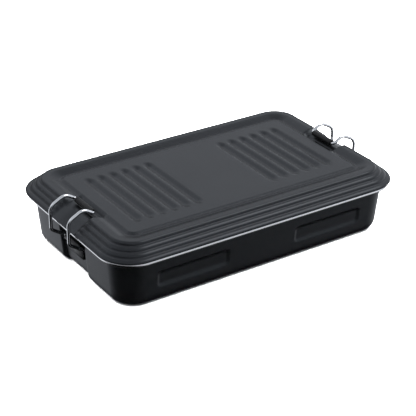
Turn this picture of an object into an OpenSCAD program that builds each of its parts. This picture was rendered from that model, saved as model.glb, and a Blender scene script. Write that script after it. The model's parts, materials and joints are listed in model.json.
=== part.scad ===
// Pressed aluminium lunch box: a tray, a lid that lifts off and a wire bail at each short end.
// X runs along the length, Y across the width and Z up. The origin is under the centre, on the table.

/* [Overall size] */
// Outer length of the lid
lid_l = 192; // [170:1:220]
// Outer width of the lid
lid_w = 120; // [105:1:140]
// Height of the lid's flat centre panel above the table
panel_z = 38.5; // [38:0.1:39.4]

/* [Tray] */
// How far the tray's rim bead stays inside the lid's edge
rim_in = 1; // [0.5:0.1:2]
// Corner radius of the rim bead
rim_r = 19; // [14:0.5:22]
// Diameter of the bare metal rim bead
bead_d = 2.6; // [2.2:0.1:2.7]
// Height of the rim bead's centre line
bead_z = 29.65; // [29.2:0.05:29.7]
// Thickness of the tray's sheet
tray_t = 0.9; // [0.6:0.1:1.2]
// Radius between the tray's walls and its floor
floor_r = 6; // [4:0.5:8]
// Depth of the two pressed panels on each long wall
side_panel_d = 0.8; // [0.3:0.1:1.2]
// Distance of the recess plane at each end from the centre
recess_x = 87.2; // [86.5:0.1:88]
// Half width of the recess at each end
recess_half = 14.5; // [13:0.5:18]
// Least depth of the recess, where the wall curves in below it
recess_depth = 2.1; // [1.5:0.1:2.2]

/* [Lid] */
// Thickness of the lid's sheet
lid_t = 0.9; // [0.6:0.1:1.2]
// Corner radius of the lid's edge
lid_r = 20; // [15:0.5:24]
// Height of the ridge round the lid above the centre panel
ridge_h = 1.1; // [0.6:0.1:1.4]
// Grooves in each of the two groups
grooves = 6; // [3:1:6]
// Distance between grooves
groove_pitch = 7.75; // [7.2:0.05:9]
// Depth of a groove
groove_d = 1.4; // [0.8:0.1:1.6]
// Width of a groove at the panel
groove_w = 6.6; // [5:0.1:6.8]
// Length of a groove from end to end
groove_l = 63; // [40:1:64]
// Distance of each group's centre from the middle of the lid
group_x = 44.9; // [43:0.1:46]

/* [Bails] */
// Diameter of the bail wire
wire_d = 2; // [1.6:0.1:2.2]
// Half the distance between the two arches of a bail
arch_y = 10.5; // [9.5:0.1:10.8]
// Distance of the legs from the centre of the box
leg_x = 97.5; // [97.4:0.1:99]
// Height where the lines of a leg and of the arch's slope meet
shoulder_z = 38.6; // [38:0.1:39.5]
// Height of the corner that the arch's top rounds off
crest_z = 43.5; // [43:0.1:44.5]
// Distance of that corner from the centre of the box
crest_x = 88.2; // [87.5:0.1:89]
// Radius of the arch's bends
arch_r = 5.5; // [4:0.1:6]
// Inner pivot of a bail: distance from the centre
pivot_x = 89.2; // [89:0.1:90]
// Inner pivot of a bail: height
pivot_z = 19; // [17:0.1:20]
// Outer diameter of the grip sleeve
sleeve_d = 3.6; // [3:0.1:3.8]
// Running clearance all round in the hinge, on the radius
hinge_gap = 0.05; // [0.02:0.01:0.1]

/* [Hidden] */
$fn = 48;

lid_hx = lid_l / 2;
lid_hy = lid_w / 2;
rim_hx = lid_hx - rim_in;
rim_hy = lid_hy - rim_in;
// Corners get sharper towards the middle: radius lost per millimetre of inset
taper = 0.77;
corner_steps = 8;
bead_r = bead_d / 2;
wire_r = wire_d / 2;

// ---- outlines and shells ------------------------------------------------------------------

// Points along one side from -a to a, with the stations s between them
function side(a, s) = concat([-a], [for (v = s) if (abs(v) < a) v], [a]);

// Inner points of a corner arc about c, starting at angle a0
function corner(c, r, a0) =
    [for (i = [1 : corner_steps - 1]) let (a = a0 + 90 * i / corner_steps) c + r * [cos(a), sin(a)]];

// Rounded rectangle, counter-clockwise, with stations xs on the long sides and ys on the short ones
function outline(hx, hy, r, xs, ys) =
    concat(
        [for (v = side(hy - r, ys)) [hx, v]],
        corner([hx - r, hy - r], r, 0),
        [for (v = side(hx - r, xs)) [-v, hy]],
        corner([-(hx - r), hy - r], r, 90),
        [for (v = side(hy - r, ys)) [-hx, -v]],
        corner([-(hx - r), -(hy - r)], r, 180),
        [for (v = side(hx - r, xs)) [v, -hy]],
        corner([hx - r, -(hy - r)], r, 270));

// Mirror-symmetric list of stations from positive ones given in rising order
function both(s) = concat([for (i = [len(s) - 1 : -1 : 0]) -s[i]], s);

// Triangles that join ring k to ring k + 1, both with n points
function band(k, n) =
    [for (i = [0 : n - 1]) let (j = (i + 1) % n) each [
        [k * n + i, (k + 1) * n + j, k * n + j],
        [k * n + i, (k + 1) * n + i, (k + 1) * n + j]]];

// Closed shell from rings whose first and last are flat, each covered by a fan about its centre
module capped(rings) {
    n = len(rings[0]);
    last = len(rings) - 1;
    first_c = n * len(rings);
    polyhedron(
        concat([for (r = rings) each r], [[0, 0, rings[0][0].z], [0, 0, rings[last][0].z]]),
        concat(
            [for (i = [0 : n - 1]) [first_c, i, (i + 1) % n]],
            [for (k = [0 : last - 1]) each band(k, n)],
            [for (i = [0 : n - 1]) [first_c + 1, last * n + (i + 1) % n, last * n + i]]),
        convexity = 6);
}

// Ring-shaped solid from rings that close on themselves
module looped(rings) {
    n = len(rings[0]);
    closed = concat(rings, [rings[0]]);
    polyhedron(
        [for (r = rings) each r],
        [for (k = [0 : len(rings) - 1]) for (t = band(k, n)) [for (v = t) v % (n * len(rings))]],
        convexity = 6);
}

// 1 inside half width w, falling to 0 at w + edge
function plateau(v, w, edge) = max(0, min(1, (w + edge - abs(v)) / edge));

// ---- tray ---------------------------------------------------------------------------------

panel_in = 21.6;
panel_out = 68.6;
panel_mid = (panel_in + panel_out) / 2;
panel_half = (panel_out - panel_in) / 2;
press_edge = 1;
recess_edge = 3;
wall_low_in = 6.1;
wall_high_in = 4.1;
wall_high_z = 27.6;
// How far the tray's edge reaches into the bead that is crimped over it
bead_lap = 0.4;
tray_xs = both([panel_in, panel_in + press_edge, panel_out - press_edge, panel_out]);
tray_ys = both([recess_half - recess_edge, recess_half]);

// Inset of the wall at height z
function wall_in(z) =
    wall_low_in + (wall_high_in - wall_low_in) * (z - floor_r) / (wall_high_z - floor_r);

// One ring of the tray at inset o and height z; pressed and sunk say how much of each pressing it has
function tray_ring(o, z, sunk, pressed, back) =
    [for (p = outline(rim_hx - o, rim_hy - o, rim_r - taper * o, tray_xs, tray_ys))
        let (
            end = plateau(p.y, recess_half - recess_edge, recess_edge) * sunk
                * max(recess_depth, abs(p.x) - recess_x + back),
            at_end = abs(p.x) > rim_hx - o - 0.01 ? 1 : 0,
            at_side = abs(p.y) > rim_hy - o - 0.01 ? 1 : 0,
            in_panel = plateau(abs(p.x) - panel_mid, panel_half - press_edge, press_edge),
            flat = in_panel * pressed * side_panel_d)
        [p.x - sign(p.x) * end * at_end, p.y - sign(p.y) * flat * at_side, z]];

// Rings round the floor's edge: radius r about the point at inset o and height z
function floor_arc(o, z, r, back) =
    [for (a = [0 : 18 : 90]) tray_ring(o - r * sin(a), z - r * cos(a), 1, 0, back)];

press_low_z = 9.6;
press_high_z = 20.6;

module tray() {
    t = tray_t;
    color([0.18, 0.18, 0.2])
    capped(concat(
        floor_arc(wall_low_in + floor_r, floor_r, floor_r, 0),
        [
            tray_ring(wall_in(press_low_z), press_low_z, 1, 0, 0),
            tray_ring(wall_in(press_low_z + 1), press_low_z + 1, 1, 1, 0),
            tray_ring(wall_in(press_high_z - 1), press_high_z - 1, 1, 1, 0),
            tray_ring(wall_in(press_high_z), press_high_z, 1, 0, 0),
            tray_ring(wall_in(25.2), 25.2, 1, 0, 0),
            tray_ring(wall_high_in, wall_high_z, 0, 0, 0),
            tray_ring(wall_high_in - 0.5, wall_high_z + 1.1, 0, 0, 0),
            tray_ring(bead_d - bead_lap, bead_z - 0.5, 0, 0, 0),
            tray_ring(bead_d - bead_lap, bead_z + 0.4, 0, 0, 0),
            tray_ring(wall_high_in + 0.3, bead_z + 0.15, 0, 0, 0),
            tray_ring(wall_high_in + t, wall_high_z + 0.6, 0, 0, t),
            tray_ring(wall_high_in + t, wall_high_z - 0.4, 0, 0, t),
            tray_ring(wall_in(25) + t, 25, 1, 0, t),
            tray_ring(wall_in(press_high_z) + t, press_high_z, 1, 0, t),
            tray_ring(wall_in(press_high_z - 1) + t, press_high_z - 1, 1, 1, t),
            tray_ring(wall_in(press_low_z + 1) + t, press_low_z + 1, 1, 1, t),
            tray_ring(wall_in(press_low_z) + t, press_low_z, 1, 0, t)
        ],
        [for (a = [90 : -18 : 0])
            let (r = floor_r - t)
            tray_ring(wall_low_in + floor_r - r * sin(a), floor_r - r * cos(a), 1, 0, t)]));
}

// Bare metal bead crimped round the top of the tray
module rim_bead() {
    o = bead_r;
    r = rim_r - taper * o;
    cx = rim_hx - o - r;
    cy = rim_hy - o - r;
    color([0.85, 0.86, 0.88])
    translate([0, 0, bead_z])
    union() {
        for (k = [0 : 3])
            translate([(k == 0 || k == 3) ? cx : -cx, k < 2 ? cy : -cy, 0])
            rotate([0, 0, 90 * k])
            rotate_extrude(angle = 90)
            translate([r, 0])
            circle(bead_r);
        for (s = [-1, 1]) {
            translate([-cx, s * (cy + r), 0])
            rotate([0, 90, 0])
            cylinder(h = 2 * cx, r = bead_r);
            translate([s * (cx + r), cy, 0])
            rotate([90, 0, 0])
            cylinder(h = 2 * cy, r = bead_r);
        }
    }
}

// ---- lid ----------------------------------------------------------------------------------

lid_edge_z = 31.05;
ridge_z = panel_z + ridge_h;
pocket_half = 11.8;
pocket_edge = 2.4;
lid_ys = both([pocket_half / 2, pocket_half, pocket_half + pocket_edge]);
slab_in = 24.5;

// Rounded step from foot a to top b, without its first point
function nose(a, b) =
    [for (t = [22.5 : 22.5 : 90]) [a[0] + (b[0] - a[0]) * (1 - cos(t)), a[1] + (b[1] - a[1]) * sin(t)]];

// Foot of each rounded step of the lid's border, and the top of the last one: inset and height
steps = [[0, lid_edge_z + 0.3], [2.8, 33.3], [5.4, 35.5], [8.1, 37.7], [9.6, ridge_z]];

// Outer face of the lid from its edge to its centre panel: inset and height
lid_face = concat(
    [steps[0]],
    [for (k = [0 : len(steps) - 2]) each nose(steps[k], steps[k + 1])],
    [
        [12.6, ridge_z - 0.1],
        [14.6, ridge_z - 0.6],
        [16.6, ridge_z - 1.5],
        [18, panel_z - 0.9],
        [18.9, panel_z - 1],
        [19.6, panel_z - 0.75],
        [20.2, panel_z - 0.2],
        [20.8, panel_z]
    ]);

// Height of the smooth ramp and pocket beside a bail, at each inset
beside = [
    [0, lid_edge_z + 0.3],
    [1.2, 32],
    [3.5, 33.3],
    [5.9, 34.8],
    [8.3, 36.1],
    [10.4, 36.8],
    [13.4, 37.2],
    [15.2, 36.6],
    [16.4, 35.8],
    [17.4, 35.8],
    [18.6, 36.5],
    [19.8, 37.6],
    [20.8, panel_z]
];

function lid_ring(o, z, z_bail) =
    [for (p = outline(lid_hx - o, lid_hy - o, lid_r - taper * o, [], lid_ys))
        let (w = abs(p.x) > lid_hx - o - 0.01 ? plateau(p.y, pocket_half, pocket_edge) : 0)
        [p.x, p.y, z + (z_bail - z) * w]];

// Inner face of the sheet behind entry k of the outer face
function lid_back(k, drop) =
    lid_ring(lid_face[k][0] + 0.45, lid_face[k][1] - drop, lookup(lid_face[k][0], beside) - drop);

function slab_outline() = outline(lid_hx - slab_in, lid_hy - slab_in, 1, [], lid_ys);

first_step = 4;
last_face = len(lid_face) - 1;

module lid_border() {
    looped(concat(
        [for (f = lid_face) lid_ring(f[0], f[1], lookup(f[0], beside))],
        [lid_ring(22.8, panel_z, panel_z)],
        [[for (p = slab_outline()) [p.x, p.y, panel_z]]],
        [[for (p = slab_outline()) [p.x, p.y, panel_z - lid_t]]],
        [lid_ring(23.2, panel_z - lid_t, panel_z - lid_t)],
        [for (k = [last_face : -1 : first_step]) lid_back(k, lid_t)],
        [
            lid_ring(2.3, lid_edge_z, lid_edge_z),
            lid_ring(0.3, lid_edge_z, lid_edge_z)
        ]));
}

// Round-bottomed groove along Y, its bottom groove_d below the panel and its radius grown by more
module groove(more) {
    r = (groove_w * groove_w / 4 + groove_d * groove_d) / (2 * groove_d);
    reach = groove_l / 2 - groove_w / 2;
    translate([0, 0, panel_z + r - groove_d]) {
        rotate([90, 0, 0])
        cylinder(h = 2 * reach, r = r + more, center = true);
        for (s = [-1, 1])
            translate([0, s * reach, 0])
            sphere(r + more);
    }
}

module groove_groups(more) {
    for (s = [-1, 1])
        for (i = [0 : grooves - 1])
            translate([s * group_x + (i - (grooves - 1) / 2) * groove_pitch, 0, 0])
            groove(more);
}

// Centre panel: the sheet follows each groove down on its inner side
module lid_panel() {
    difference() {
        union() {
            translate([0, 0, panel_z - lid_t])
            linear_extrude(lid_t)
            polygon(slab_outline());
            intersection() {
                groove_groups(lid_t);
                translate([-lid_hx, -lid_hy, panel_z - groove_d - 2 * lid_t])
                cube([lid_l, lid_w, groove_d + 1.5 * lid_t]);
            }
        }
        groove_groups(0);
    }
}

module lid() {
    color([0.2, 0.2, 0.22])
    union() {
        lid_border();
        lid_panel();
    }
}

// Silicone seal: it fills the space under the lid's steps and plugs the mouth of the tray
seal_first = 5;
seal_last = 11;
seal_low_z = 27.6;
seal_out = 6.5;
seal_in = 8.2;

module lid_seal() {
    color([0.1, 0.1, 0.11])
    looped(concat(
        [for (k = [seal_first : seal_last]) lid_back(k, lid_t)],
        [
            lid_ring(seal_in + 0.6, 31, 31),
            lid_ring(seal_in, seal_low_z, seal_low_z),
            lid_ring(seal_out, seal_low_z, seal_low_z),
            lid_ring(seal_out - 0.1, 30.6, 30.6),
            lid_ring(4.1, 30.8, 30.8)
        ]));
}

// ---- bails --------------------------------------------------------------------------------

bend_r = 1.5;
elbow_r = 3;
// Slope of the lower run
run_a = 33.5;
bar_x = 81.68;
bar_z = 39.46;
bar_y = arch_y - bend_r;

// Corners of the wire in the plane of an arch, as distance from the centre and height
corners = [
    [pivot_x, pivot_z],
    [leg_x, pivot_z + (leg_x - pivot_x) * tan(run_a)],
    [leg_x, shoulder_z],
    [crest_x, crest_z],
    [bar_x, bar_z]
];
radii = [bend_r, elbow_r, arch_r, arch_r, bend_r];
last_corner = len(corners) - 1;
pin_in = 4;
knuckle_d = 3.8;
knuckle_l = 16;
plate_t = 0.8;
plate_h = 8;

// Bent stretches are a hair thinner than straight ones, which lap over their ends
bent_r = wire_r - 0.03;
lap = 0.15;

function unit(v) = v / norm(v);
function ahead(k) = unit(corners[k + 1] - corners[k]);
// Half the angle between the wire's two directions at corner k
function half_angle(k) = acos(-ahead(k - 1) * ahead(k)) / 2;
// Distance from corner k to where its bend starts; the end corners bend square to the arch's plane
function cut(k) = (k == 0 || k == last_corner) ? bend_r : radii[k] / tan(half_angle(k));
function bend_centre(k) = corners[k] + unit(ahead(k) - ahead(k - 1)) * radii[k] / sin(half_angle(k));

// Straight stretch of wire of length l along Z
module rod(l) {
    translate([0, 0, -lap])
    cylinder(h = l + 2 * lap, r = wire_r);
}

// Straight stretch from corner k to the next, less their bends
module stretch(k) {
    from = corners[k] + ahead(k) * cut(k);
    translate([from[0], arch_y, from[1]])
    rotate([0, atan2(ahead(k)[0], ahead(k)[1]), 0])
    rod(norm(corners[k + 1] - corners[k]) - cut(k) - cut(k + 1));
}

// Bend at corner k, in the plane of the arch
module corner_bend(k) {
    c = bend_centre(k);
    translate([0, arch_y, 0])
    rotate([90, 0, 0])
    translate([c[0], c[1], 0])
    rotate([0, 0, atan2(-ahead(k - 1)[0], ahead(k - 1)[1])])
    rotate_extrude(angle = 180 - 2 * half_angle(k))
    translate([radii[k], 0])
    circle(bent_r);
}

// Quarter bend at an end corner that turns the wire from direction t in the arch's plane to -Y
module wire_bend(corner, t) {
    start = corner - bend_r * t;
    translate([start[0], arch_y - bend_r, start[1]])
    rotate([0, atan2(t[1], -t[0]), 0])
    rotate([0, 0, 90])
    rotate_extrude(angle = 90)
    translate([bend_r, 0])
    circle(bent_r);
}

module bail_half() {
    for (k = [0 : last_corner - 1])
        stretch(k);
    for (k = [1 : last_corner - 1])
        corner_bend(k);
    wire_bend(corners[0], -ahead(0));
    wire_bend(corners[last_corner], ahead(last_corner - 1));
    translate([pivot_x, pin_in, pivot_z])
    rotate([-90, 0, 0])
    rod(bar_y - pin_in);
}

// The bail at the +X end: two arches, the bar between them and two inward pins at the bottom
module bail() {
    color([0.8, 0.81, 0.83])
    union() {
        bail_half();
        mirror([0, 1, 0])
        bail_half();
        translate([bar_x, -bar_y, bar_z])
        rotate([-90, 0, 0])
        rod(2 * bar_y);
    }
}

// Grip sleeve on the bar
module sleeve() {
    color([0.16, 0.16, 0.18])
    translate([bar_x, 0, bar_z])
    rotate([90, 0, 0])
    difference() {
        cylinder(h = 2 * bar_y - 0.4, r = sleeve_d / 2, center = true);
        cylinder(h = 2 * bar_y + 2, r = wire_r, center = true);
    }
}

// Bracket on the recess plane, with the knuckle that the bail's pins turn in
module bracket() {
    color([0.16, 0.16, 0.18])
    difference() {
        union() {
            translate([recess_x, -knuckle_l / 2, pivot_z - plate_h])
            cube([plate_t, knuckle_l, plate_h]);
            translate([pivot_x, 0, pivot_z])
            rotate([90, 0, 0])
            cylinder(h = knuckle_l, r = knuckle_d / 2, center = true);
        }
        translate([pivot_x, 0, pivot_z])
        rotate([90, 0, 0])
        cylinder(h = knuckle_l + 2, r = wire_r + hinge_gap, center = true);
    }
}

module right_bail_wire() { bail(); }
module left_bail_wire() { mirror([1, 0, 0]) bail(); }
module right_grip_sleeve() { sleeve(); }
module left_grip_sleeve() { mirror([1, 0, 0]) sleeve(); }
module right_hinge_bracket() { bracket(); }
module left_hinge_bracket() { mirror([1, 0, 0]) bracket(); }

tray();
rim_bead();
left_hinge_bracket();
right_hinge_bracket();
lid();
lid_seal();
left_bail_wire();
right_bail_wire();
left_grip_sleeve();
right_grip_sleeve();
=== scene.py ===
import json
import math

import bmesh
import bpy
from mathutils import Matrix, Vector


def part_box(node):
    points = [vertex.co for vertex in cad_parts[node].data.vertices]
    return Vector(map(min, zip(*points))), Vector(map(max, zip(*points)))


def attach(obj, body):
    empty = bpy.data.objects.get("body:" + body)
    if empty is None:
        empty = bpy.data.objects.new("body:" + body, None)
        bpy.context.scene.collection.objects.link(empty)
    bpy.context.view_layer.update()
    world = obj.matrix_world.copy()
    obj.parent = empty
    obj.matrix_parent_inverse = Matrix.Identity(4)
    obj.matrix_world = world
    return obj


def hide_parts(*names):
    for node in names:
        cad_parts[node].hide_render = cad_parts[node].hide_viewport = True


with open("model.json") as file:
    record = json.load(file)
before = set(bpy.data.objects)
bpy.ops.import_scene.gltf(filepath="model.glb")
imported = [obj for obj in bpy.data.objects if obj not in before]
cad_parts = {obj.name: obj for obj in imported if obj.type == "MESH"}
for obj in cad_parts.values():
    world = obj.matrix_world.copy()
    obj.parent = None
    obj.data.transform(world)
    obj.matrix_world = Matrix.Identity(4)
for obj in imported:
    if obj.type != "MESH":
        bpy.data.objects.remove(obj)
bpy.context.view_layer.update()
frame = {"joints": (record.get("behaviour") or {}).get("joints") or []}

# Lengths are in millimetres up to Skin.make(), which turns them into metres.
MM = 0.001


def cad_extent(node):
    """Lowest and highest corner of a CAD piece, in millimetres."""
    low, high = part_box(node)
    return low / MM, high / MM


lid_low, lid_high = cad_extent("lid")
bead_low, bead_high = cad_extent("rim_bead")
wire_high = cad_extent("right_bail_wire")[1]
sleeve_low, sleeve_high = cad_extent("right_grip_sleeve")
bracket_low, bracket_high = cad_extent("right_hinge_bracket")
bail_swing = next(j for j in frame["joints"] if j["name"] == "right_bail_swing")
pivot = Vector(bail_swing["pos_m"]) / MM

# ---- dimensions -----------------------------------------------------------------------------

# The lid's half length, half width and corner radius
LID_HX, LID_HY, LID_R = lid_high.x, lid_high.y, 20.0
EDGE_Z = lid_low.z
RIDGE_Z = lid_high.z
PANEL_Z = RIDGE_Z - 1.1
# Thickness of the lid's and the tray's sheet
SHEET = 0.9
# Points closer than this are one point
WELD = 1e-4
# Distance between mesh lines: across a pressed edge, over the grooves, across the lid,
# along plain stretches, and over flat middles
EDGE_STEP, GROOVE_STEP, ACROSS_STEP, PLAIN_STEP, FLAT_STEP = 0.4, 0.7, 0.75, 1.5, 3
# Corners get sharper towards the middle: radius lost per millimetre of inset
TAPER = 0.77
CORNER_STEPS = 20
# The lid's flat panel is a grid inside this inset
GRID_IN = 24.5
GRID_HX, GRID_HY = LID_HX - GRID_IN, LID_HY - GRID_IN

# The grooves of each half of the panel, the middle of their group along X, and their spacing
GROOVES, GROUP_X, GROOVE_PITCH = 6, 44.9, 7.75
# Half a groove's width and half its length, and the length over which it runs out at its end
GROOVE_HALF, GROOVE_END, GROOVE_RUN_OUT = 3.75, 31.5, 6.5
GROOVE_DEPTH = 1.2
# Share of a groove's side that is rounded, at its bottom and at its top
GROOVE_ROUND = 0.32

# Half width of the lid's pocket under a bail, and of its soft edge
POCKET_HALF, POCKET_EDGE = 11.8, 3.2

# The rim's half length, half width and corner radius, and the bead round it
RIM_HX, RIM_HY, RIM_R = bead_high.x, bead_high.y, 19.0
BEAD_R = (bead_high.z - bead_low.z) / 2
BEAD_Z = (bead_high.z + bead_low.z) / 2
BEAD_SIDES = 20
# Radius between the tray's floor and its walls, and its mesh rows
FLOOR_R, FLOOR_PARTS = 6.0, 8
# Inset of the tapered walls above the floor and at their top, and the height of that top
WALL_LOW_IN, WALL_HIGH_IN, WALL_HIGH_Z = 6.1, 4.1, 27.6
# The band of the walls that carries the panels and the end recesses at full depth
PRESSED_LOW_Z, PRESSED_HIGH_Z = 7.0, 24.6
# The flat back of the end recess, its half width and the width of its sides
RECESS_X, RECESS_HALF, RECESS_EDGE = bracket_low.x, 11.0, 4.0
# Least depth of the recess, where the wall curves in below it
RECESS_DEPTH = 2.1
# The pressed panels of the long walls: from where to where along X and in height
PRESS_IN, PRESS_OUT, PRESS_LOW, PRESS_HIGH = 21.6, 68.6, 9.6, 20.6
# Their depth, the width of their soft edge and their corner radius
PRESS_DEPTH, PRESS_EDGE, PRESS_CORNER = 0.8, 2.4, 3.0
# Mesh rows to each span of the rim
RIM_PARTS = 4

WIRE_R = 1.0
# The skin of the wire keeps inside the CAD model's bends
WIRE_SKIN_R = 0.965
WIRE_SIDES = 20
# How far the wire's ends are domed, as a share of its radius
END_DOME = 0.4
# Distance of the bail's upright legs from the middle, along X and along Y
LEG_X, ARCH_Y = wire_high.x - WIRE_R, wire_high.y - WIRE_R
# The straight hinge pins: distance of their ends from the middle, length and mesh spacing
PIN_IN, PIN_LENGTH, PIN_STEP = 4.0, 4.0, 0.8
# Radii of the bail's bends: at the pin and the bar, at the elbow, and along the arch
BEND_R, ELBOW_R, ARCH_R = 1.5, 3.0, 5.5
BEND_STEPS = 12
# Slope of the run from the hinge pin out to the elbow, in degrees
RUN_SLOPE = 33.5
# Where the straight lines of the arch meet: distance from the centre and height
SHOULDER, CREST = (LEG_X, 38.6), (88.2, 43.5)
# The bail's bar, and the sleeve on it
BAR = (sleeve_low + sleeve_high) / 2
SLEEVE_R = (sleeve_high.z - sleeve_low.z) / 2
SLEEVE_HALF = sleeve_high.y
# Radius of the sleeve's soft outer edge
SLEEVE_SOFT = 0.35
SLEEVE_SIDES = 40

# The bracket's strip: thickness, bevel, and height and mesh rows of its flat part
STRIP, STRIP_BEVEL, STRIP_FLAT, STRIP_PARTS = 0.8, 0.12, 7.36, 8
# Radius and extent of the strip's curl, and its mesh rows
CURL_R, CURL_DEGREES, CURL_PARTS = 1.46, 300, 20

# ---- mesh helpers ---------------------------------------------------------------------------


def smoothstep(t):
    """0 up to t = 0, 1 from t = 1, and smooth between them."""
    t = min(1.0, max(0.0, t))
    return t * t * (3 - 2 * t)


def plateau(v, half, edge):
    """1 inside half, falling smoothly to 0 at half + edge."""
    return smoothstep((half + edge - abs(v)) / edge)


def catmull_rom(p, q, r, s, t):
    """The smooth curve from q at t = 0 to r at t = 1, with p before it and s after it."""
    square = 2 * p - 5 * q + 4 * r - s
    cube = 3 * q - p - 3 * r + s
    return 0.5 * (2 * q + (r - p) * t + square * t * t + cube * t**3)


def spline_rows(rows, parts):
    """Smooth curve through rows of numbers, with parts pieces to each span."""
    made = []
    last = len(rows) - 1
    for k in range(last):
        near = (rows[max(k - 1, 0)], rows[k], rows[k + 1], rows[min(k + 2, last)])
        for i in range(parts):
            made.append(tuple(catmull_rom(*four, i / parts) for four in zip(*near)))
    made.append(tuple(rows[last]))
    return made


def spread(marks, step):
    """The marks and points between them, no more than step apart."""
    made = [marks[0]]
    for low, high in zip(marks, marks[1:]):
        n = max(1, math.ceil((high - low) / step))
        made += [low + (high - low) * i / n for i in range(1, n + 1)]
    return made


def mirrored(values, step):
    """Rising values from above 0, with their negatives before them and the gap filled in."""
    between = spread([-values[0], values[0]], step)[1:-1]
    return [-v for v in reversed(values)] + between + list(values)


def outline(hx, hy, r, long_at, short_at):
    """Rounded rectangle, counter-clockwise, as (x, y, where).

    long_at and short_at place the points of a long and a short side, from -1 to 1.
    """
    ax, ay = hx - r, hy - r
    corners = [(ax, ay, 0), (-ax, ay, 90), (-ax, -ay, 180), (ax, -ay, 270)]
    sides = [
        [(hx, v * ay, "end") for v in short_at],
        [(-u * ax, hy, "side") for u in long_at],
        [(-hx, -v * ay, "end") for v in short_at],
        [(u * ax, -hy, "side") for u in long_at],
    ]
    made = []
    for side, (cx, cy, start) in zip(sides, corners):
        made += side
        for i in range(1, CORNER_STEPS):
            a = math.radians(start + 90 * i / CORNER_STEPS)
            made.append((cx + r * math.cos(a), cy + r * math.sin(a), "corner"))
    return made


def circle(n):
    """Cosine and sine of n even steps round a circle."""
    angles = (2 * math.pi * k / n for k in range(n))
    return [(math.cos(a), math.sin(a)) for a in angles]


class Skin:
    """Collects rings of points into one mesh."""

    def __init__(self):
        self.bm = bmesh.new()

    def ring(self, points):
        return [self.bm.verts.new(p) for p in points]

    def bridge(self, a, b):
        """Closed band of faces between two rings of the same number of points."""
        n = len(a)
        for i in range(n):
            j = (i + 1) % n
            self.bm.faces.new((a[i], a[j], b[j], b[i]))

    def loft(self, rings, loop=False):
        """Skin over rings of points, joined up into a loop if asked."""
        made = [self.ring(r) for r in rings]
        for a, b in zip(made, made[1:]):
            self.bridge(a, b)
        if loop:
            self.bridge(made[-1], made[0])
        return made

    def cap(self, ring, flip=False):
        self.bm.faces.new(list(reversed(ring)) if flip else ring)

    def sheet(self, xs, ys, height, flip=False):
        """Grid over xs and ys at height(x, y)."""
        rows = [[self.bm.verts.new((x, y, height(x, y))) for x in xs] for y in ys]
        for near, far in zip(rows, rows[1:]):
            for i in range(len(xs) - 1):
                self.cap([near[i], near[i + 1], far[i + 1], far[i]], flip)

    def make(self, name, material, weld=True):
        """The finished piece in metres, with its coinciding points welded if asked."""
        if weld:
            bmesh.ops.remove_doubles(self.bm, verts=self.bm.verts, dist=WELD)
        bmesh.ops.scale(self.bm, vec=(MM, MM, MM), verts=self.bm.verts)
        bmesh.ops.recalc_face_normals(self.bm, faces=self.bm.faces)
        mesh = bpy.data.meshes.new(name)
        self.bm.to_mesh(mesh)
        self.bm.free()
        mesh.materials.append(material)
        for face in mesh.polygons:
            face.use_smooth = True
        piece = bpy.data.objects.new(name, mesh)
        bpy.context.scene.collection.objects.link(piece)
        return piece


def tube(skin, path, radius):
    """Round wire along path, with softly rounded ends."""
    points = [Vector(p) for p in path]
    tangents = []
    for i, p in enumerate(points):
        before, after = points[max(i - 1, 0)], points[min(i + 1, len(points) - 1)]
        tangents.append((after - before).normalized())
    normal = tangents[0].orthogonal().normalized()
    rings = []
    for i, (p, t) in enumerate(zip(points, tangents)):
        normal = (normal - t * normal.dot(t)).normalized()
        other = t.cross(normal)
        for shift, share in end_steps(i, len(points)):
            centre = p + t * shift * radius
            round_it = [normal * c + other * s for c, s in circle(WIRE_SIDES)]
            rings.append([centre + arm * radius * share for arm in round_it])
    made = skin.loft(rings)
    skin.cap(made[0], flip=True)
    skin.cap(made[-1])


def end_steps(i, n):
    """Rings that dome a tube's first and last points: (shift along it, share of radius)."""
    angles = [math.radians(a) for a in (20, 40, 60)]
    dome = [(END_DOME * math.sin(a), math.cos(a)) for a in angles]
    if i == 0:
        return [(-shift, share) for shift, share in reversed(dome)] + [(0.0, 1.0)]
    if i == n - 1:
        return [(0.0, 1.0)] + dome
    return [(0.0, 1.0)]


def rounded_corner(before, corner, after, r, steps):
    """Points of the arc of radius r that rounds a corner of a line."""
    a = (before - corner).normalized()
    b = (after - corner).normalized()
    half = a.angle(b) / 2
    centre = corner + (a + b).normalized() * r / math.sin(half)
    start = corner + a * r / math.tan(half) - centre
    end = corner + b * r / math.tan(half) - centre
    turn = start.angle(end)
    axis = start.cross(end).normalized()
    side = axis.cross(start)
    made = []
    for i in range(steps + 1):
        t = turn * i / steps
        made.append(centre + start * math.cos(t) + side * math.sin(t))
    return made


# ---- lid ------------------------------------------------------------------------------------

# Foot of each rounded step of the lid's border, and the top of the last one: inset and height
STEPS = [(0.0, EDGE_Z + 0.3), (2.8, 33.3), (5.4, 35.5), (8.1, 37.7), (9.6, RIDGE_Z)]
# Mesh rows to each step, on the outer face and on the hidden inner one
STEP_PARTS, INNER_PARTS = 7, 3
# From the ridge over the valley to the panel: inset and height
INNER_FACE = [
    (9.6, RIDGE_Z),
    (12.4, RIDGE_Z - 0.1),
    (14.2, RIDGE_Z - 0.55),
    (16.2, RIDGE_Z - 1.3),
    (17.6, PANEL_Z - 0.75),
    (18.4, PANEL_Z - 0.9),
    (19.1, PANEL_Z - 0.75),
    (20.2, PANEL_Z - 0.25),
    (21.0, PANEL_Z),
    (22.8, PANEL_Z),
]
# Height of the smooth ramp and pocket beside a bail, at each inset
BESIDE = [
    (0.0, EDGE_Z + 0.3),
    (1.2, 32.0),
    (3.5, 33.3),
    (5.9, 34.8),
    (8.3, 36.1),
    (10.4, 36.8),
    (13.4, 37.2),
    (15.2, 36.6),
    (16.4, 35.8),
    (17.4, 35.8),
    (18.6, 36.5),
    (19.8, 37.6),
    (20.8, PANEL_Z),
]
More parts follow.
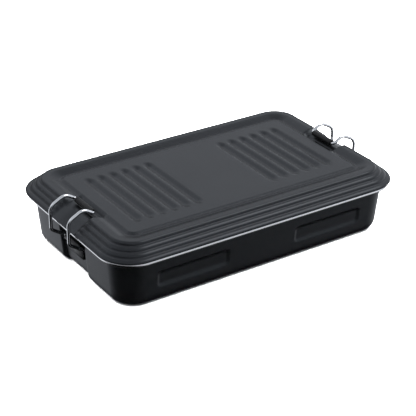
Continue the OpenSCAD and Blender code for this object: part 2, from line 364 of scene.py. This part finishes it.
# The lid's lower edge, from inside out: inset and height above it
HEM = [(2.3, 0.0), (0.35, 0.0), (0.1, 0.08)]
# Where the seal meets the underside of the lid, as insets
SEAL_FROM, SEAL_TO = 3.5, 8.5
# The seal's lip from inside out: inset and height
SEAL_LIP = [
    (8.8, 31.0),
    (8.35, 29.0),
    (8.1, 27.9),
    (7.35, 27.6),
    (6.6, 27.9),
    (6.45, 29.4),
    (6.2, 30.5),
    (4.3, 30.8),
]


def groove_drop(x, y):
    """Depth of the grooves at a point of the panel."""
    along = max(0.0, abs(y) - (GROOVE_END - GROOVE_RUN_OUT)) / GROOVE_RUN_OUT
    first = GROUP_X - (GROOVES - 1) / 2 * GROOVE_PITCH
    near = min(max(round((abs(x) - first) / GROOVE_PITCH), 0), GROOVES - 1)
    across = (abs(x) - first - near * GROOVE_PITCH) / GROOVE_HALF
    d = min(1.0, math.hypot(across, along))
    if d < GROOVE_ROUND:
        fallen = d * d / (2 * GROOVE_ROUND)
    elif d < 1 - GROOVE_ROUND:
        fallen = d - GROOVE_ROUND / 2
    else:
        fallen = 1 - GROOVE_ROUND - (1 - d) ** 2 / (2 * GROOVE_ROUND)
    return GROOVE_DEPTH * (1 - fallen / (1 - GROOVE_ROUND))


def lid_stations():
    """Where the lid's mesh lines cross its long and its short sides."""
    reach = (GROOVES - 0.5) / 2 * GROOVE_PITCH + 2
    first, last = GROUP_X - reach, GROUP_X + reach
    xs = spread([first, last], GROOVE_STEP) + spread([last, GRID_HX], PLAIN_STEP)[1:]
    ys = spread([0, 9.5, 15.5, 24, 32, GRID_HY], ACROSS_STEP)[1:]
    return mirrored(xs, FLAT_STEP), mirrored(ys, ACROSS_STEP)


def lid_outline(o, z, z_bail, long_at, short_at):
    """The lid's outline at inset o and height z, and at height z_bail beside the bails."""
    r = max(0.0, LID_R - TAPER * o) if o < GRID_IN else 0.0
    made = []
    for x, y, where in outline(LID_HX - o, LID_HY - o, r, long_at, short_at):
        low = plateau(y, POCKET_HALF, POCKET_EDGE) if where == "end" else 0.0
        made.append((x, y, z + (z_bail - z) * low))
    return made


def height_beside(o):
    """Height of the ramp beside a bail at inset o."""
    for (o0, z0), (o1, z1) in zip(BESIDE, BESIDE[1:]):
        if o <= o1:
            return z0 + (z1 - z0) * (o - o0) / (o1 - o0)
    return PANEL_Z


def lid_rows(first, parts=STEP_PARTS):
    """Rows of the outer face from step first inwards: inset, height, height beside a bail."""
    face = [STEPS[first]]
    for (o0, z0), (o1, z1) in zip(STEPS[first:], STEPS[first + 1 :]):
        for i in range(1, parts + 1):
            a = math.radians(90 * i / parts)
            face.append((o0 + (o1 - o0) * (1 - math.cos(a)), z0 + (z1 - z0) * math.sin(a)))
    face += spline_rows(INNER_FACE, (parts + 1) // 2)[1:]
    return [(o, z, height_beside(o)) for o, z in face]


def underside(rows):
    """The rows of an outer face, moved to the sheet's other side."""
    return [(o + SHEET / 2, z - SHEET, z_bail - SHEET) for o, z, z_bail in rows]


def build_lid(material):
    xs, ys = lid_stations()
    long_at = [x / GRID_HX for x in xs]
    short_at = [y / GRID_HY for y in ys]
    rows = [(GRID_IN, PANEL_Z - SHEET, PANEL_Z - SHEET)]
    rows += reversed(underside(lid_rows(1, INNER_PARTS)))
    rows += [(o, EDGE_Z + up, EDGE_Z + up) for o, up in HEM]
    rows += lid_rows(0)
    rows += [(GRID_IN, PANEL_Z, PANEL_Z)]
    skin = Skin()
    skin.loft([lid_outline(*row, long_at, short_at) for row in rows])
    skin.sheet(xs, ys, lambda x, y: PANEL_Z - groove_drop(x, y))
    skin.sheet(xs, ys, lambda x, y: PANEL_Z - SHEET - groove_drop(x, y), flip=True)
    lid = skin.make("pressed_lid", material)
    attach(lid, "lid_body")
    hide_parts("lid")


def build_seal(material):
    """Silicone ring under the lid's steps, with a lip that plugs the tray's mouth."""
    long_at = spread([-1, 1], 0.02)
    short_at = [v / GRID_HY for v in lid_stations()[1]]
    rows = [row for row in underside(lid_rows(1)) if SEAL_FROM < row[0] < SEAL_TO]
    rows += [(o, z, z) for o, z in spline_rows(SEAL_LIP, 3)]
    skin = Skin()
    skin.loft([lid_outline(*row, long_at, short_at) for row in rows], loop=True)
    seal = skin.make("silicone_seal", material)
    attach(seal, "lid_body")
    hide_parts("lid_seal")


# ---- tray -----------------------------------------------------------------------------------


def wall_in(z):
    """Inset of the tray's wall at height z."""
    share = (z - FLOOR_R) / (WALL_HIGH_Z - FLOOR_R)
    return WALL_LOW_IN + (WALL_HIGH_IN - WALL_LOW_IN) * share


def pressed(x, z):
    """Depth of a long wall's pressed panels at a point."""
    half_x, half_z = (PRESS_OUT - PRESS_IN) / 2, (PRESS_HIGH - PRESS_LOW) / 2
    dx = abs(abs(x) - (PRESS_IN + PRESS_OUT) / 2) - half_x + PRESS_CORNER
    dz = abs(z - (PRESS_LOW + PRESS_HIGH) / 2) - half_z + PRESS_CORNER
    outside = math.hypot(max(dx, 0), max(dz, 0)) + min(max(dx, dz), 0) - PRESS_CORNER
    return PRESS_DEPTH * smoothstep(-outside / PRESS_EDGE)


def tray_stations():
    """Where the tray's mesh lines cross a long and a short side, from -1 to 1."""
    corner = RIM_R - TAPER * WALL_LOW_IN
    ax = RIM_HX - WALL_LOW_IN - corner
    ay = RIM_HY - WALL_LOW_IN - corner
    inside, outside = PRESS_IN + 4, PRESS_OUT - 4
    xs = spread([PRESS_IN - 1, inside], EDGE_STEP)
    xs += spread([inside, outside], PLAIN_STEP)[1:]
    xs += spread([outside, ax], EDGE_STEP)[1:]
    ys = spread([RECESS_HALF - 1, RECESS_HALF + RECESS_EDGE + 1], EDGE_STEP)
    ys += [ay * 0.7, ay]
    long_at = [x / ax for x in mirrored(xs, FLAT_STEP)]
    short_at = [y / ay for y in mirrored(ys, FLAT_STEP)]
    return long_at, short_at


def floor_rows(r, back):
    """Quarter round of radius r from the floor up to the wall."""
    rows = []
    for i in range(FLOOR_PARTS + 1):
        a = math.radians(90 * i / FLOOR_PARTS)
        o = WALL_LOW_IN + FLOOR_R - r * math.sin(a)
        rows.append((o, FLOOR_R - r * math.cos(a), 1, 0, back))
    return rows


def rim_rows():
    """From the wall up and out under the bead, over it, and back down inside."""
    inner = WALL_HIGH_IN + SHEET
    up = [
        (wall_in(PRESSED_HIGH_Z), PRESSED_HIGH_Z, 1),
        (wall_in(PRESSED_HIGH_Z + 1), PRESSED_HIGH_Z + 1, 0.85),
        (WALL_HIGH_IN, WALL_HIGH_Z, 0),
        (WALL_HIGH_IN - 0.5, WALL_HIGH_Z + 1.1, 0),
        (2.2, BEAD_Z - 0.5, 0),
    ]
    down = [
        (2.2, BEAD_Z + 0.4, 0),
        (WALL_HIGH_IN + 0.3, BEAD_Z + 0.15, 0),
        (inner, WALL_HIGH_Z + 0.6, 0),
        (inner, WALL_HIGH_Z - 0.4, 0),
        (wall_in(PRESSED_HIGH_Z) + SHEET, PRESSED_HIGH_Z, 1),
    ]
    both = spline_rows(up, RIM_PARTS)[1:] + spline_rows(down, RIM_PARTS)[:-1]
    return [(o, z, sunk, 0, 0) for o, z, sunk in both]


def tray_rows():
    """Rows of the tray's skin from the outside in.

    Each is its inset, its height, its shares of the recess and of the panels, and the
    thickness of sheet behind the outer face.
    """
    heights = spread([PRESSED_LOW_Z, PRESSED_HIGH_Z], EDGE_STEP)
    rows = floor_rows(FLOOR_R, 0)
    rows += [(wall_in(z), z, 1, 1, 0) for z in heights]
    rows += rim_rows()
    rows += [(wall_in(z) + SHEET, z, 1, 1, SHEET) for z in reversed(heights)]
    rows += reversed(floor_rows(FLOOR_R - SHEET, SHEET))
    return rows


def tray_ring(row, long_at, short_at):
    """The tray's outline at one of its rows."""
    o, z, sunk, press, back = row
    r = RIM_R - TAPER * o
    made = []
    for x, y, where in outline(RIM_HX - o, RIM_HY - o, r, long_at, short_at):
        if where == "end":
            past = max(RECESS_DEPTH, abs(x) - RECESS_X + back)
            x -= math.copysign(past * sunk * plateau(y, RECESS_HALF, RECESS_EDGE), x)
        if where == "side":
            y -= math.copysign(press * pressed(x, z), y)
        made.append((x, y, z))
    return made


def build_tray(material):
    long_at, short_at = tray_stations()
    skin = Skin()
    made = skin.loft([tray_ring(row, long_at, short_at) for row in tray_rows()])
    skin.cap(made[0], flip=True)
    skin.cap(made[-1])
    tray = skin.make("pressed_tray", material, weld=False)
    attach(tray, "tray_body")
    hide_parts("tray")


def build_bead(material):
    """Bare metal bead crimped round the top of the tray."""
    stations = spread([-1, 1], 0.05)
    rings = []
    for c, s in circle(BEAD_SIDES):
        o = BEAD_R - BEAD_R * c
        z = BEAD_Z + BEAD_R * s
        r = RIM_R - TAPER * BEAD_R - (o - BEAD_R)
        around = outline(RIM_HX - o, RIM_HY - o, r, stations, stations)
        rings.append([(x, y, z) for x, y, _ in around])
    skin = Skin()
    skin.loft(rings, loop=True)
    bead = skin.make("bare_rim_bead", material)
    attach(bead, "tray_body")
    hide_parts("rim_bead")


# ---- bails ----------------------------------------------------------------------------------


def bail_path():
    """Centre line of the bail at the +X end, from one inward pin to the other."""
    pin = Vector((pivot.x, PIN_IN, pivot.z))
    elbow_z = pivot.z + (LEG_X - pivot.x) * math.tan(math.radians(RUN_SLOPE))
    flat = [(pivot.x, pivot.z), (LEG_X, elbow_z), SHOULDER, CREST, (BAR.x, BAR.z)]
    middle = Vector((BAR.x, 0, BAR.z))
    corners = [pin] + [Vector((x, ARCH_Y, z)) for x, z in flat] + [middle]
    half = [pin + Vector((0, y, 0)) for y in spread([0, PIN_LENGTH], PIN_STEP)]
    for k, r in enumerate((BEND_R, ELBOW_R, ARCH_R, ARCH_R, BEND_R), 1):
        half += rounded_corner(corners[k - 1], corners[k], corners[k + 1], r, BEND_STEPS)
    other = [Vector((p.x, -p.y, p.z)) for p in reversed(half)]
    return half + [middle] + other


def build_bail(end, side, material):
    """The bail's wire at one end of the box: side is 1 at +X and -1 at -X."""
    skin = Skin()
    tube(skin, [(side * p.x, p.y, p.z) for p in bail_path()], WIRE_SKIN_R)
    wire = skin.make(f"{end}_spring_wire_bail", material)
    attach(wire, f"{end}_bail")
    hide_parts(f"{end}_bail_wire")


def build_sleeve(end, side, material):
    """Tube on the bail's bar, with soft ends."""
    rows = [
        (SLEEVE_HALF - 0.3, WIRE_R + 0.05),
        (SLEEVE_HALF - 0.05, WIRE_R + 0.15),
        (SLEEVE_HALF, WIRE_R + 0.3),
        (SLEEVE_HALF, SLEEVE_R - SLEEVE_SOFT),
        (SLEEVE_HALF - SLEEVE_SOFT * 0.3, SLEEVE_R - SLEEVE_SOFT * 0.3),
        (SLEEVE_HALF - SLEEVE_SOFT, SLEEVE_R),
        (SLEEVE_HALF - 2, SLEEVE_R),
    ]
    rows += [(-y, r) for y, r in reversed(rows)]
    around = circle(SLEEVE_SIDES)
    rings = [[(side * (BAR.x + r * c), y, BAR.z + r * s) for c, s in around] for y, r in rows]
    skin = Skin()
    skin.loft(rings, loop=True)
    sleeve = skin.make(f"{end}_sleeve", material)
    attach(sleeve, f"{end}_bail")
    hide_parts(f"{end}_grip_sleeve")


def strip_path():
    """Middle of the bracket's strip in X and Z: straight up, then curled round the pivot."""
    x = RECESS_X + STRIP / 2
    path = [(x, bracket_low.z + STRIP_FLAT * i / STRIP_PARTS) for i in range(STRIP_PARTS + 1)]
    for i in range(CURL_PARTS + 1):
        a = math.radians(180 - CURL_DEGREES * i / CURL_PARTS)
        path.append((pivot.x + CURL_R * math.cos(a), pivot.z + CURL_R * math.sin(a)))
    return path


def strip_section(path, half, y, side):
    """Closed outline of the strip at y, half its thickness to each side of the path."""
    out, back = [], []
    for i, (x, z) in enumerate(path):
        ax, az = path[max(i - 1, 0)]
        bx, bz = path[min(i + 1, len(path) - 1)]
        length = math.hypot(bx - ax, bz - az)
        nx, nz = -(bz - az) / length, (bx - ax) / length
        out.append((side * (x + nx * half), y, z + nz * half))
        back.append((side * (x - nx * half), y, z - nz * half))
    return out + back[::-1]


def build_bracket(end, side, material):
    """Strip that stands on the recess plane and curls round the bail's pins."""
    path = strip_path()
    full, edge = bracket_high.y, bracket_high.y - STRIP_BEVEL
    stations = [(-full, STRIP_BEVEL), (-edge, 0), (0, 0), (edge, 0), (full, STRIP_BEVEL)]
    skin = Skin()
    made = skin.loft([strip_section(path, STRIP / 2 - less, y, side) for y, less in stations])
    skin.cap(made[0], flip=True)
    skin.cap(made[-1])
    bracket = skin.make(f"{end}_curled_bracket", material)
    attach(bracket, "tray_body")
    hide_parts(f"{end}_hinge_bracket")


# ---- materials ------------------------------------------------------------------------------

RANGE_SOCKETS = ("From Min", "From Max", "To Min", "To Max")


class Shader:
    """A node material with one Principled shader."""

    def __init__(self, name):
        self.material = bpy.data.materials.new(name)
        self.material.use_nodes = True
        self.nodes = self.material.node_tree.nodes
        self.links = self.material.node_tree.links
        self.main = self.nodes["Principled BSDF"]
        self.place = self.add("ShaderNodeTexCoord").outputs["Object"]

    def add(self, kind, **values):
        node = self.nodes.new(kind)
        for name, value in values.items():
            setattr(node, name, value)
        return node

    def set(self, **values):
        """Plain numbers and colours for the shader's own sockets."""
        for name, value in values.items():
            self.main.inputs[name.replace("_", " ")].default_value = value

    def feed(self, socket, value):
        self.links.new(value, self.main.inputs[socket])

    def noise(self, scale, detail=3.0, stretch=None):
        """Noise over the object, with scale cells to the metre, stretched if asked."""
        node = self.add("ShaderNodeTexNoise")
        node.inputs["Scale"].default_value = scale
        node.inputs["Detail"].default_value = detail
        source = self.place
        if stretch:
            mapping = self.add("ShaderNodeMapping")
            mapping.inputs["Scale"].default_value = stretch
            self.links.new(source, mapping.inputs["Vector"])
            source = mapping.outputs["Vector"]
        self.links.new(source, node.inputs["Vector"])
        return node.outputs["Fac"]

    def ranged(self, value, low, high, to_low, to_high):
        """The value's range from low to high, moved to to_low to to_high."""
        node = self.add("ShaderNodeMapRange")
        self.links.new(value, node.inputs["Value"])
        for name, number in zip(RANGE_SOCKETS, (low, high, to_low, to_high)):
            node.inputs[name].default_value = number
        return node.outputs["Result"]

    def maths(self, operation, a, b):
        node = self.add("ShaderNodeMath", operation=operation)
        self.links.new(a, node.inputs[0])
        self.links.new(b, node.inputs[1])
        return node.outputs["Value"]

    def blend(self, factor, first, second):
        """Mix of two colours, each a plain colour or another node's."""
        node = self.add("ShaderNodeMix", data_type="RGBA")
        self.links.new(factor, node.inputs["Factor"])
        sockets = (s for s in node.inputs if s.type == "RGBA")
        for socket, colour in zip(sockets, (first, second)):
            if isinstance(colour, bpy.types.NodeSocket):
                self.links.new(colour, socket)
            else:
                socket.default_value = (*colour, 1.0)
        return next(s for s in node.outputs if s.type == "RGBA")

    def bump(self, height, distance, strength):
        """Fine relief, distance metres deep."""
        node = self.add("ShaderNodeBump")
        node.inputs["Strength"].default_value = strength
        node.inputs["Distance"].default_value = distance
        self.links.new(height, node.inputs["Height"])
        self.feed("Normal", node.outputs["Normal"])


def edge_wear_and_highlight(s):
    """Patchy mask of the edges that bend outwards sharply, painted lighter: partly rubbed-off
    finish, partly a painted edge highlight.
    """
    bend = s.add("ShaderNodeNewGeometry").outputs["Pointiness"]
    edge = s.ranged(bend, 0.54, 0.62, 0.0, 1.0)
    patch = s.ranged(s.noise(420, 5.0), 0.45, 0.7, 0.0, 0.8)
    return s.maths("MULTIPLY", edge, patch)


def dark_shell_material():
    """Anodised aluminium sheet: satin black with a fine grain, and its sharp outer edges painted
    lighter, partly as rubbed-off finish and partly as a painted highlight.
    """
    s = Shader("dark_anodised_shell")
    grain = s.noise(3200, 2.0)
    cloud = s.noise(28, 4.0)
    plain = s.blend(cloud, (0.0009, 0.0010, 0.0012), (0.0015, 0.0016, 0.0018))
    # Sharp outer edges are painted lighter: partly rubbed-off finish, partly a painted edge
    # highlight
    s.feed("Base Color", s.blend(edge_wear_and_highlight(s), plain, (0.006, 0.006, 0.0065)))
    fine = s.ranged(grain, 0.3, 0.7, -0.03, 0.03)
    broad = s.ranged(cloud, 0.3, 0.7, 0.30, 0.35)
    s.feed("Roughness", s.maths("ADD", fine, broad))
    s.bump(grain, 0.00002, 0.35)
    s.set(Specular_IOR_Level=0.42, IOR=1.5, Specular_Tint=(0.86, 0.92, 1.0, 1.0))
    return s.material


def bare_metal_material():
    """Bare bright aluminium with fine drawing lines."""
    s = Shader("bright_bare_metal")
    lines = s.noise(900, 3.0, stretch=(0.15, 0.15, 3.0))
    s.feed("Base Color", s.blend(s.noise(60), (0.93, 0.93, 0.94), (0.98, 0.98, 0.98)))
    s.feed("Roughness", s.ranged(lines, 0.3, 0.7, 0.16, 0.26))
    s.bump(lines, 0.00001, 0.3)
    s.set(Metallic=1.0)
    return s.material


def wire_material():
    """Polished spring steel wire with light draw marks."""
    s = Shader("polished_spring_wire")
    marks = s.noise(1500, 2.0)
    s.feed("Base Color", s.blend(s.noise(90), (0.74, 0.75, 0.77), (0.84, 0.85, 0.86)))
    s.feed("Roughness", s.ranged(marks, 0.3, 0.7, 0.07, 0.15))
    s.bump(marks, 0.000006, 0.3)
    s.set(Metallic=1.0)
    return s.material


def sleeve_material():
    """Dark satin tube, slightly scuffed."""
    s = Shader("dark_satin_sleeve")
    scuff = s.noise(700, 4.0, stretch=(1.0, 0.25, 1.0))
    s.feed("Base Color", s.blend(scuff, (0.0007, 0.0007, 0.0008), (0.0015, 0.0015, 0.0017)))
    s.feed("Roughness", s.ranged(scuff, 0.3, 0.7, 0.34, 0.50))
    s.bump(s.noise(2600, 2.0), 0.00002, 0.3)
    s.set(Specular_IOR_Level=0.25)
    return s.material


def bracket_material():
    """Black lacquered steel strip."""
    s = Shader("black_lacquered_steel")
    cloud = s.noise(220, 4.0)
    s.feed("Base Color", s.blend(cloud, (0.0008, 0.0008, 0.0009), (0.002, 0.002, 0.0022)))
    s.feed("Roughness", s.ranged(cloud, 0.3, 0.7, 0.34, 0.46))
    s.bump(s.noise(1800, 3.0), 0.00002, 0.35)
    return s.material


def seal_material():
    """Matt black silicone with a slight bloom."""
    s = Shader("matt_silicone")
    bloom = s.noise(160, 5.0)
    s.feed("Base Color", s.blend(bloom, (0.0025, 0.0025, 0.0026), (0.005, 0.005, 0.0052)))
    s.feed("Roughness", s.ranged(bloom, 0.3, 0.7, 0.55, 0.72))
    s.bump(s.noise(1200, 3.0), 0.00004, 0.4)
    s.set(Specular_IOR_Level=0.35)
    return s.material


# ---- studio ---------------------------------------------------------------------------------

# Half the floor's side, in metres
FLOOR_HALF = 6.0
# Brightness of the surround against height, from straight down at -1 to straight up at 1
SURROUND = [
    (-1.0, 0.02),
    (-0.66, 0.04),
    (-0.52, 0.95),
    (0.0, 0.85),
    (0.40, 0.92),
    (0.70, 0.90),
    (0.85, 0.55),
    (1.0, 0.45),
]
# The surround is very slightly blue
SURROUND_TINT = (0.93, 0.965, 1.03, 1.0)
# Direction of the darkness low down at the front left
DARK_SIDE = Vector((-0.74, -0.49, -0.47)).normalized()
# Azimuth and elevation of the camera about the box, and its roll, in degrees
VIEW_AZ, VIEW_EL, VIEW_ROLL = -33.417, 27.822, 0.357
VIEW_DISTANCE, VIEW_LENS = 793.27, 116.59
# How far the line of sight passes beside and below the middle of the box's base
VIEW_SIDE, VIEW_DOWN = 0.80, -13.07


def build_floor():
    """Plain pale floor, large enough to fill every view. It isn't mirrored in the object."""
    mesh = bpy.data.meshes.new("floor")
    corners = [(-1, -1), (1, -1), (1, 1), (-1, 1)]
    mesh.from_pydata([(x * FLOOR_HALF, y * FLOOR_HALF, 0) for x, y in corners], [], [(0, 1, 2, 3)])
    s = Shader("pale_floor")
    s.feed("Base Color", s.blend(s.noise(2, 2.0), (0.90, 0.90, 0.90), (0.93, 0.93, 0.93)))
    s.set(Roughness=0.9, Specular_IOR_Level=0.1)
    mesh.materials.append(s.material)
    floor = bpy.data.objects.new("floor", mesh)
    bpy.context.scene.collection.objects.link(floor)
    floor.visible_glossy = False


def add_softbox(name, place, aim, size, power, mirrored_in_object=True):
    """Square soft light at place, pointing at aim, in metres and watts."""
    light = bpy.data.lights.new(name, "AREA")
    light.shape = "SQUARE"
    light.size = size
    light.energy = power
    obj = bpy.data.objects.new(name, light)
    bpy.context.scene.collection.objects.link(obj)
    obj.location = place
    obj.rotation_mode = "QUATERNION"
    obj.rotation_quaternion = (Vector(aim) - Vector(place)).to_track_quat("-Z", "Y")
    obj.visible_glossy = mirrored_in_object


def mapped(tree, value, low, high, to_low, to_high):
    """Smooth step of a value: to_low where it is low, to_high where it is high."""
    node = tree.nodes.new("ShaderNodeMapRange")
    node.interpolation_type = "SMOOTHSTEP"
    for name, number in zip(RANGE_SOCKETS, (low, high, to_low, to_high)):
        node.inputs[name].default_value = number
    tree.links.new(value, node.inputs["Value"])
    return node.outputs["Result"]


def combined(tree, operation, *values):
    """A maths node over values, each a number or another node's output."""
    node = tree.nodes.new("ShaderNodeMath")
    node.operation = operation
    for socket, value in zip(node.inputs, values):
        if isinstance(value, bpy.types.NodeSocket):
            tree.links.new(value, socket)
        else:
            socket.default_value = value
    return node.outputs["Value"]


def product(tree, first, *others):
    """All the values multiplied together."""
    for value in others:
        first = combined(tree, "MULTIPLY", first, value)
    return first


def rest_of(tree, share):
    """What is left when a share is taken away."""
    return combined(tree, "SUBTRACT", 1.0, share)


def distance(tree, value, middle):
    """How far a value is from the middle of a range."""
    return combined(tree, "ABSOLUTE", combined(tree, "ADD", value, -middle))


def brightness_by_height(tree, z):
    """The surround's brightness at height z, from the table of heights."""
    ramp = tree.nodes.new("ShaderNodeValToRGB")
    tree.links.new(combined(tree, "MULTIPLY_ADD", z, 0.5, 0.5), ramp.inputs["Fac"])
    stops = ramp.color_ramp.elements
    while len(stops) < len(SURROUND):
        stops.new(0.5)
    for stop, (height, value) in zip(stops, SURROUND):
        stop.position = (height + 1) / 2
        stop.color = (value, value, value, 1.0)
    return ramp.outputs["Color"]


def dark_horizon(tree, x, y, z):
    """Share of light missing round the horizon, mostly behind the box and to its right."""
    band = mapped(tree, distance(tree, z, 0.06), 0.1, 0.32, 0.86, 0.0)
    right = mapped(tree, x, -0.9, -0.3, 0.35, 1.0)
    behind = mapped(tree, y, -0.4, 0.3, 0.2, 1.0)
    return product(tree, band, right, behind)


def right_glow(tree, x, z):
    """Narrow bright strip on the right, which draws the highlights along the steps."""
    strip = mapped(tree, distance(tree, z, 0.03), 0.09, 0.17, 1.1, 0.0)
    return product(tree, strip, mapped(tree, x, 0.52, 0.64, 0.0, 1.0))


def dim_front(tree, y, z):
    """Share of light missing in front of the box, mostly low down."""
    front = mapped(tree, y, -0.8, 0.6, 0.47, 0.0)
    low = mapped(tree, z, -0.45, 0.3, 1.0, 0.5)
    return product(tree, front, low)


def away_from_dark_side(tree, direction):
    """0 at the middle of the dark side, 1 well away from it."""
    dot = tree.nodes.new("ShaderNodeVectorMath")
    dot.operation = "DOT_PRODUCT"
    dot.inputs[1].default_value = DARK_SIDE
    tree.links.new(direction, dot.inputs[0])
    return mapped(tree, dot.outputs["Value"], 0.35, 0.85, 1.0, 0.0)


def build_world():
    """White table and white wall with a dark horizon between them, darker in front."""
    world = bpy.data.worlds.new("studio")
    bpy.context.scene.world = world
    world.use_nodes = True
    tree = world.node_tree
    direction = tree.nodes.new("ShaderNodeTexCoord").outputs["Generated"]
    split = tree.nodes.new("ShaderNodeSeparateXYZ")
    tree.links.new(direction, split.inputs["Vector"])
    x, y, z = (split.outputs[name] for name in "XYZ")
    light = brightness_by_height(tree, z)
    light = product(tree, light, rest_of(tree, dark_horizon(tree, x, y, z)))
    light = combined(tree, "ADD", light, right_glow(tree, x, z))
    light = product(tree, light, rest_of(tree, dim_front(tree, y, z)))
    light = product(tree, light, away_from_dark_side(tree, direction))
    background = tree.nodes["Background"]
    tree.links.new(light, background.inputs["Strength"])
    background.inputs["Color"].default_value = SURROUND_TINT


def build_camera():
    """Camera at the viewing angle, with a long lens."""
    az, el, roll = (math.radians(a) for a in (VIEW_AZ, VIEW_EL, VIEW_ROLL))
    back = Vector((math.sin(az) * math.cos(el), -math.cos(az) * math.cos(el), math.sin(el)))
    level = Vector((math.cos(az), math.sin(az), 0))
    up = back.cross(level)
    side = level * math.cos(roll) + up * math.sin(roll)
    top = up * math.cos(roll) - level * math.sin(roll)
    place = (back * VIEW_DISTANCE - side * VIEW_SIDE - top * VIEW_DOWN) * MM
    data = bpy.data.cameras.new("camera")
    data.sensor_width = 36
    data.lens = VIEW_LENS
    data.clip_start, data.clip_end = 0.05, 50
    camera = bpy.data.objects.new("camera", data)
    bpy.context.scene.collection.objects.link(camera)
    turn = Matrix((side, top, back)).transposed().to_4x4()
    camera.matrix_world = Matrix.Translation(place) @ turn
    bpy.context.scene.camera = camera


# ---- build ----------------------------------------------------------------------------------

build_camera()
build_floor()
build_world()
add_softbox("overhead", (0, 0.1, 1.6), (0, 0, 0), 3.0, 360, mirrored_in_object=False)
add_softbox("key", (0.55, -0.33, 0.95), (0, 0, 0.03), 0.65, 5.0)
bpy.context.scene.view_settings.view_transform = "Standard"

dark_shell = dark_shell_material()
build_lid(dark_shell)
build_tray(dark_shell)
build_bead(bare_metal_material())
build_seal(seal_material())
wire_finish = wire_material()
sleeve_finish = sleeve_material()
bracket_finish = bracket_material()
for end, side in (("left", -1), ("right", 1)):
    build_bail(end, side, wire_finish)
    build_sleeve(end, side, sleeve_finish)
    build_bracket(end, side, bracket_finish)
